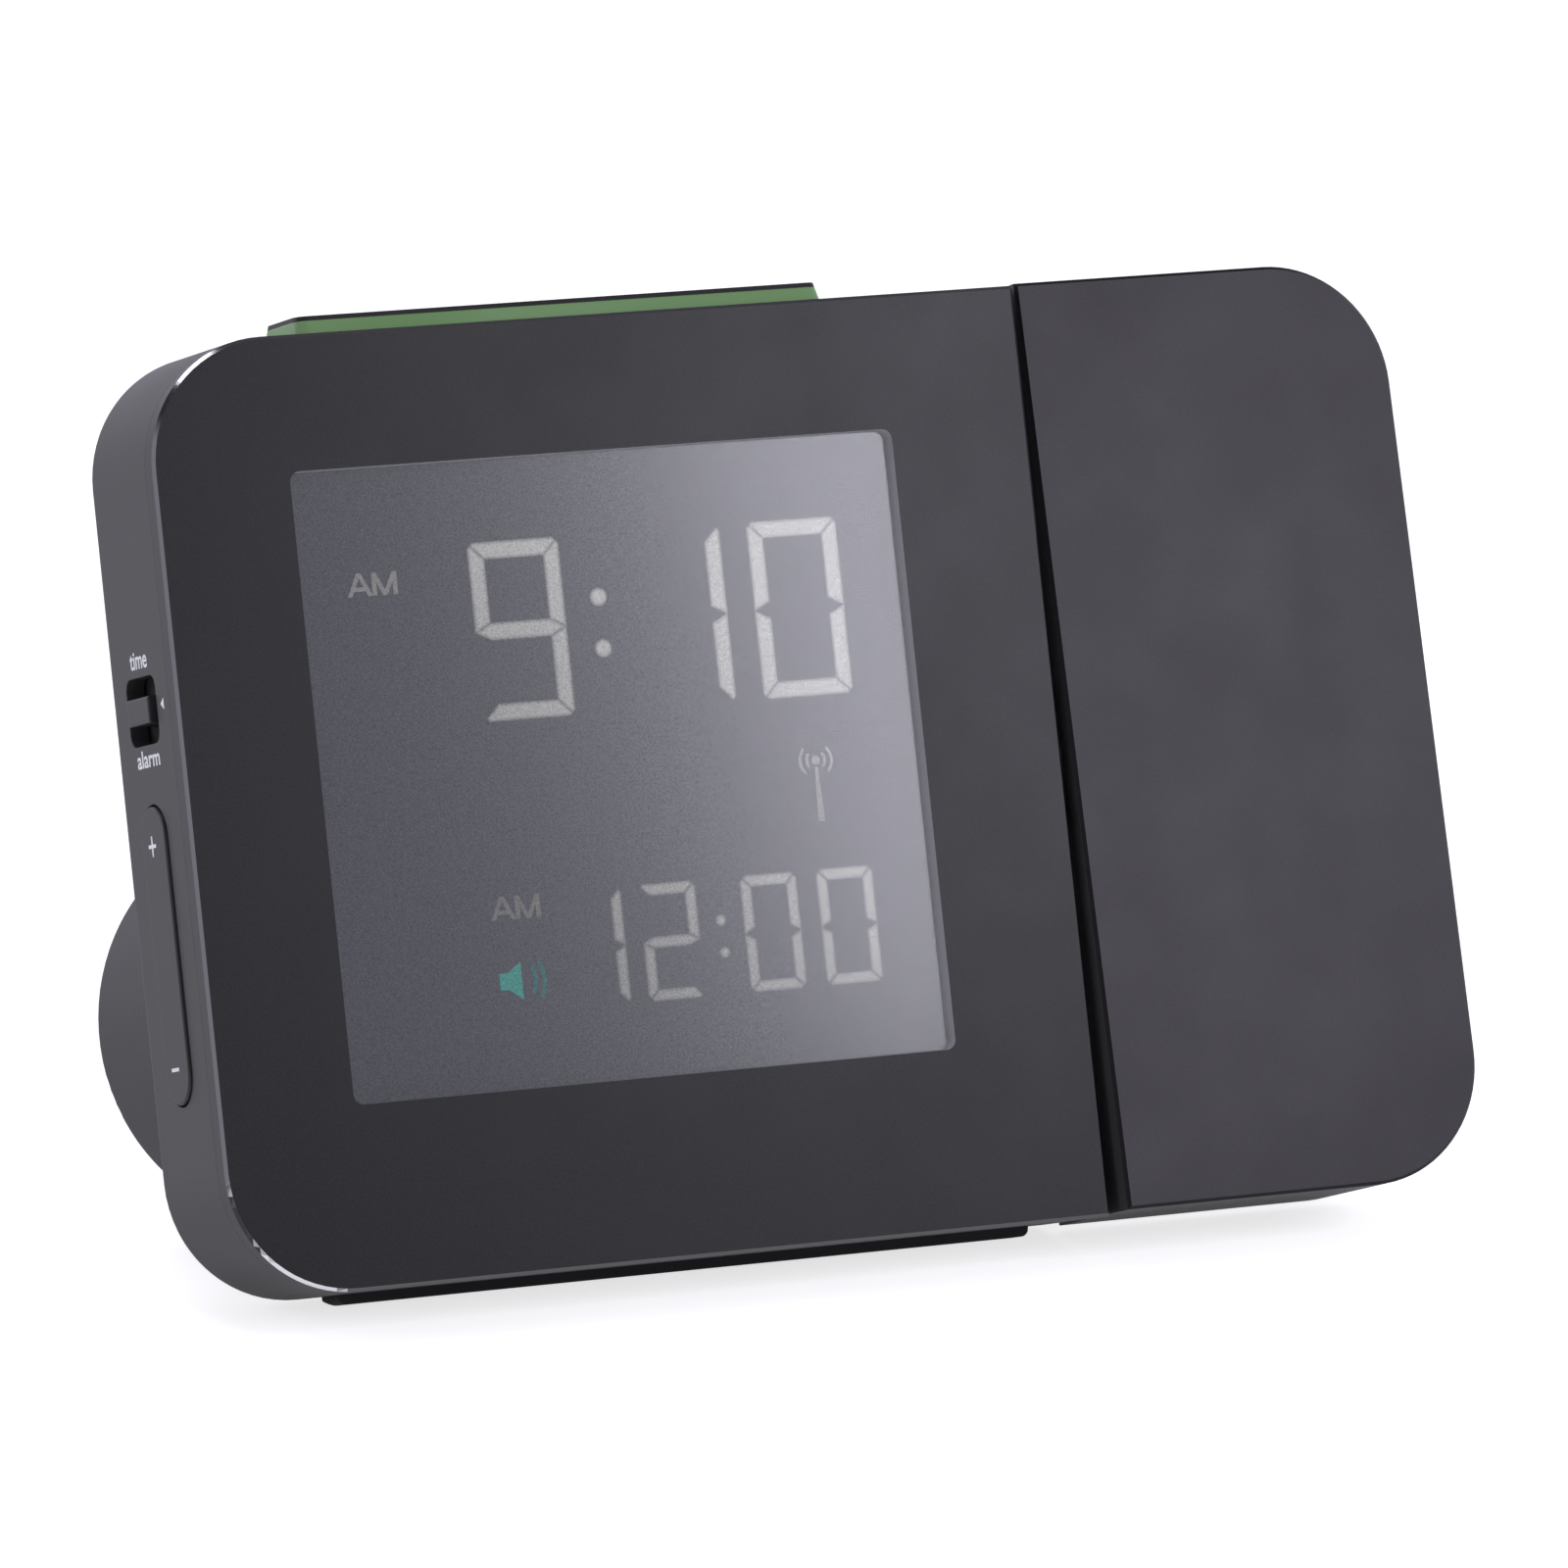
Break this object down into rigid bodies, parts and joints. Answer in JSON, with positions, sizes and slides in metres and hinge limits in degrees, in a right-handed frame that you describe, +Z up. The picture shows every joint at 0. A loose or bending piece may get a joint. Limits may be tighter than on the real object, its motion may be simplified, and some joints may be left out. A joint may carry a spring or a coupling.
{
  "type": "radio-controlled alarm clock",
  "caption": "Slim bedside alarm clock with a recessed display, a snooze bar on top, side keys, a battery pod behind and a projector head that turns at its right side.",
  "frame": {"origin": "middle of the footprint on the table, at the bottom of the bounding box", "axes": "+X to the clock's right seen from the front, +Y to its back, +Z up; the slab leans back by 18.5 degrees"},
  "size_m": [0.1272, 0.0508, 0.0893],
  "materials": {
    "panel_black": "fine matt black moulding with a polished bevel",
    "case_black": "fine matt black moulding",
    "rear_black": "fine spark-eroded black moulding",
    "key_black": "smooth black moulding",
    "snooze_green": "satin green moulding",
    "cap_black": "matt black moulding",
    "pane_clear": "clear pane with an anti-glare face",
    "lcd_glass": "dark grey liquid crystal cell",
    "guide_white": "milky light guide",
    "holder_grey": "dark moulding",
    "board_green": "green circuit board",
    "can_tin": "tinned sheet",
    "screw_steel": "blackened steel",
    "ferrite": "dark ferrite",
    "winding": "enamelled copper",
    "switch_dark": "black switch body",
    "cell_jacket": "plain foil jacket",
    "contact_nickel": "nickel-plated contact",
    "foot_rubber": "black rubber",
    "bush_acetal": "white acetal",
    "spring_steel": "spring steel",
    "cable_black": "black cable sheath",
    "lens_clear": "clear moulded lens",
    "led_red": "red lamp"
  },
  "bodies": {
    "clock": {"front_panel": "panel_black", "display_pane": "pane_clear", "lcd_cell": "lcd_glass", "light_guide": "guide_white", "lcd_holder": "holder_grey", "main_pcb": "board_green", "radio_receiver": "can_tin", "pcb_screws": "screw_steel", "antenna_rod": "ferrite", "antenna_coil": "winding", "main_case": "case_black", "side_board": "board_green", "rocker_switches": "switch_dark", "mode_switch_body": "switch_dark", "snooze_switches": "switch_dark", "button_switches": "switch_dark", "sounder": "switch_dark", "rear_cover": "rear_black", "cover_screws": "screw_steel", "battery_plates": "contact_nickel", "battery_springs": "contact_nickel", "dc_jack": "switch_dark", "front_foot": "foot_rubber", "rear_feet": "foot_rubber", "hinge_bush": "bush_acetal", "friction_washer": "spring_steel", "thrust_washer": "bush_acetal", "projector_cable": "cable_black", "battery_lower": "cell_jacket", "battery_upper": "cell_jacket"},
    "head": {"trunnion": "holder_grey", "trunnion_clip": "spring_steel", "head_panel": "panel_black", "head_case": "case_black", "head_rear_cover": "rear_black", "head_screws": "screw_steel", "eye_window": "lens_clear", "projector_frame": "holder_grey", "led_board": "board_green", "projector_led": "led_red", "condenser_lens": "lens_clear", "projector_lcd": "lcd_glass", "driver_board": "board_green"},
    "snooze": {"snooze_bar": "snooze_green", "snooze_cap": "cap_black"},
    "mode_slider": {"mode_knob": "key_black"},
    "rocker": {"rocker_key": "key_black"},
    "battery_door": {"battery_cover": "rear_black"},
    "focus": {"focus_ring": "key_black"},
    "barrel": {"lens_barrel": "holder_grey", "projection_lens": "lens_clear"},
    "button_1": {"rear_button_1": "key_black"},
    "button_2": {"rear_button_2": "key_black"},
    "button_3": {"rear_button_3": "key_black"}
  },
  "joints": [
    {"name": "head_turn", "type": "hinge", "parent": "clock", "child": "head", "pos_m": [0.02575, -0.00116, 0.0442], "axis": [-1, 0, 0], "range_deg": [-2.4, 87.6]},
    {"name": "focus_turn", "type": "hinge", "parent": "head", "child": "focus", "pos_m": [0.0447, 0.01002, 0.06883], "axis": [0, 0.3567, 0.9342], "range_deg": [-125, 125]},
    {"name": "lens_slide", "type": "slide", "parent": "head", "child": "barrel", "axis": [0, 0.3567, 0.9342], "range_m": [-0.0018, 0.0018]},
    {"name": "snooze_press", "type": "slide", "parent": "clock", "child": "snooze", "axis": [0, -0.3173, -0.9483], "range_m": [0, 0.001], "stiffness_N_per_m": 1000, "springref_m": -0.0005},
    {"name": "mode_slide", "type": "slide", "parent": "clock", "child": "mode_slider", "axis": [0, 0.3173, 0.9483], "range_m": [-0.0017, 0.0017]},
    {"name": "rocker_tilt", "type": "hinge", "parent": "clock", "child": "rocker", "pos_m": [-0.06035, -0.00506, 0.03332], "axis": [0, 0.9483, -0.3173], "range_deg": [-1.8, 1.8], "stiffness_Nm_per_rad": 0.5},
    {"name": "battery_cover_off", "type": "slide", "parent": "clock", "child": "battery_door", "axis": [0, 0.9483, -0.3173], "range_m": [0, 0.009]},
    {"name": "button_1_press", "type": "slide", "parent": "clock", "child": "button_1", "axis": [0, -0.9483, 0.3173], "range_m": [0, 0.0006], "stiffness_N_per_m": 1500, "springref_m": -0.0003},
    {"name": "button_2_press", "type": "slide", "parent": "clock", "child": "button_2", "axis": [0, -0.9483, 0.3173], "range_m": [0, 0.0006], "stiffness_N_per_m": 1500, "springref_m": -0.0003},
    {"name": "button_3_press", "type": "slide", "parent": "clock", "child": "button_3", "axis": [0, -0.9483, 0.3173], "range_m": [0, 0.0006], "stiffness_N_per_m": 1500, "springref_m": -0.0003}
  ],
  "couplings": [
    {"joint": "focus_turn", "follows": "lens_slide", "rad_per_m": 1163.6}
  ]
}
